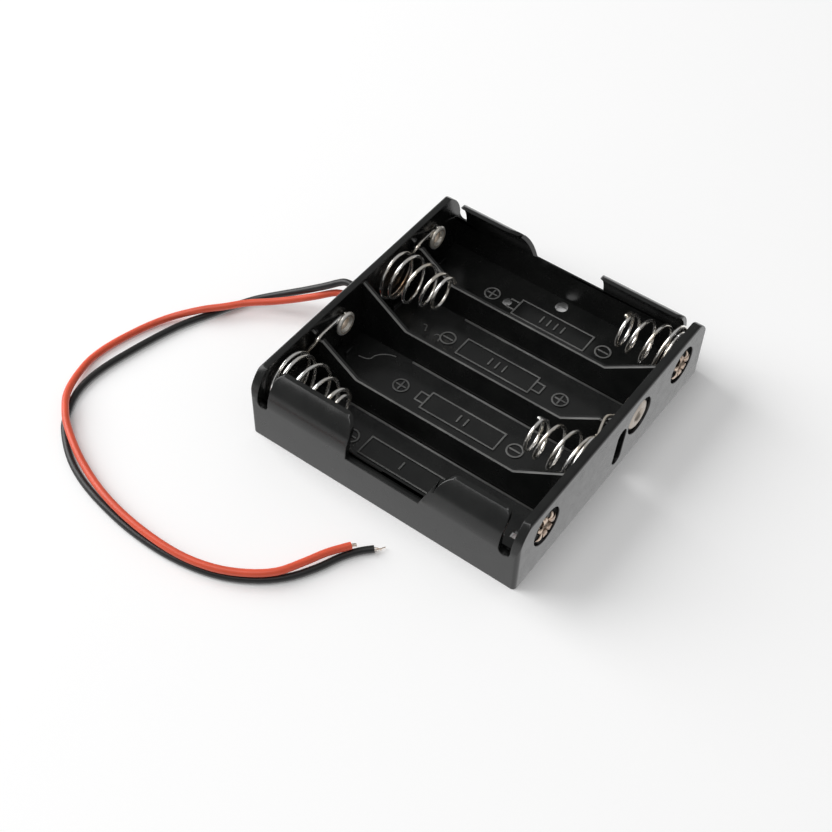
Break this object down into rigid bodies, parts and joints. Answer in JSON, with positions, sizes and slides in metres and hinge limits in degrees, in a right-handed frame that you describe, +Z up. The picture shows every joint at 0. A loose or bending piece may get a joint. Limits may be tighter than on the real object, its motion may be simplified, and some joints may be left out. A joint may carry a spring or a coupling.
{
  "type": "cylindrical cell holder",
  "caption": "Open tray that holds round cells side by side, with riveted spring contacts and two loose leads.",
  "frame": {"origin": "middle of the tray's base, leads left out", "axes": "+X along the cells, away from the wall the leads leave through; +Y across the cells; +Z up, out of the open side"},
  "size_m": [0.0935, 0.0934, 0.0152],
  "materials": {
    "tray_plastic": "moulded black, glossy",
    "spring_wire": "bright nickel-plated wire",
    "eyelet_metal": "bright nickel plate with a warm tint",
    "star_metal": "nickel plate, warm tint",
    "tag_metal": "tinned sheet",
    "solder": "solder, smooth",
    "red_insulation": "satin coral red insulation",
    "black_insulation": "satin black insulation",
    "strands": "bare copper strands"
  },
  "bodies": {
    "holder": {"tray": "tray_plastic", "eyelet_left_2": "eyelet_metal", "eyelet_left_4": "eyelet_metal", "eyelet_right_3": "eyelet_metal", "star_rivet_right_1": "star_metal", "star_rivet_right_4": "star_metal", "solder_tag_red": "tag_metal", "solder_tag_black": "tag_metal", "solder_joint_red": "solder", "solder_joint_black": "solder", "red_lead_run": "red_insulation", "black_lead_run": "black_insulation", "red_lead": "red_insulation", "black_lead": "black_insulation", "red_tip": "strands", "black_tip": "strands"},
    "jumper_spring_12_wire": {"jumper_spring_12": "spring_wire"},
    "jumper_spring_34_wire": {"jumper_spring_34": "spring_wire"},
    "jumper_spring_23_wire": {"jumper_spring_23": "spring_wire"},
    "terminal_spring_wire": {"terminal_spring": "spring_wire"}
  },
  "joints": [
    {"name": "spring_1_press", "type": "slide", "parent": "holder", "child": "jumper_spring_12_wire", "axis": [-1, 0, 0], "range_m": [0, 0.009], "stiffness_N_per_m": 400, "deforming": ["jumper_spring_12"]},
    {"name": "spring_3_press", "type": "slide", "parent": "holder", "child": "jumper_spring_34_wire", "axis": [-1, 0, 0], "range_m": [0, 0.009], "stiffness_N_per_m": 400, "deforming": ["jumper_spring_34"]},
    {"name": "spring_2_press", "type": "slide", "parent": "holder", "child": "jumper_spring_23_wire", "axis": [1, 0, 0], "range_m": [0, 0.009], "stiffness_N_per_m": 400, "deforming": ["jumper_spring_23"]},
    {"name": "spring_4_press", "type": "slide", "parent": "holder", "child": "terminal_spring_wire", "axis": [1, 0, 0], "range_m": [0, 0.009], "stiffness_N_per_m": 400, "deforming": ["terminal_spring"]}
  ]
}
